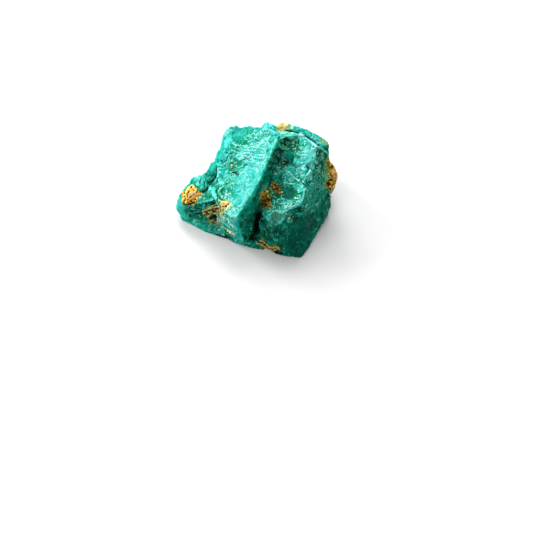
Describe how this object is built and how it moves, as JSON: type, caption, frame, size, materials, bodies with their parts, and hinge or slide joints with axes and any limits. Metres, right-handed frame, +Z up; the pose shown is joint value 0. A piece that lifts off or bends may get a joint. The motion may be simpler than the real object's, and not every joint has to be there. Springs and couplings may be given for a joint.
{
  "type": "chrysocolla specimen",
  "caption": "Rough piece of blue-green chrysocolla with flat breaks, a ridge over a valley and rusty limonite knots, resting on its flat underside.",
  "frame": {"origin": "on the flat underside, below the middle of the stone's box", "axes": "+X to the right along the longest side, from the low corner block to the knot on the right; +Y away, towards the thin back ledge; +Z up from the flat underside"},
  "size_m": [0.036, 0.0266, 0.0189],
  "materials": {
    "chrysocolla": "rough broken mineral, blue-green with a pale bloom and rusty limonite"
  },
  "bodies": {
    "root": {"chrysocolla_stone": "chrysocolla"}
  },
  "joints": []
}
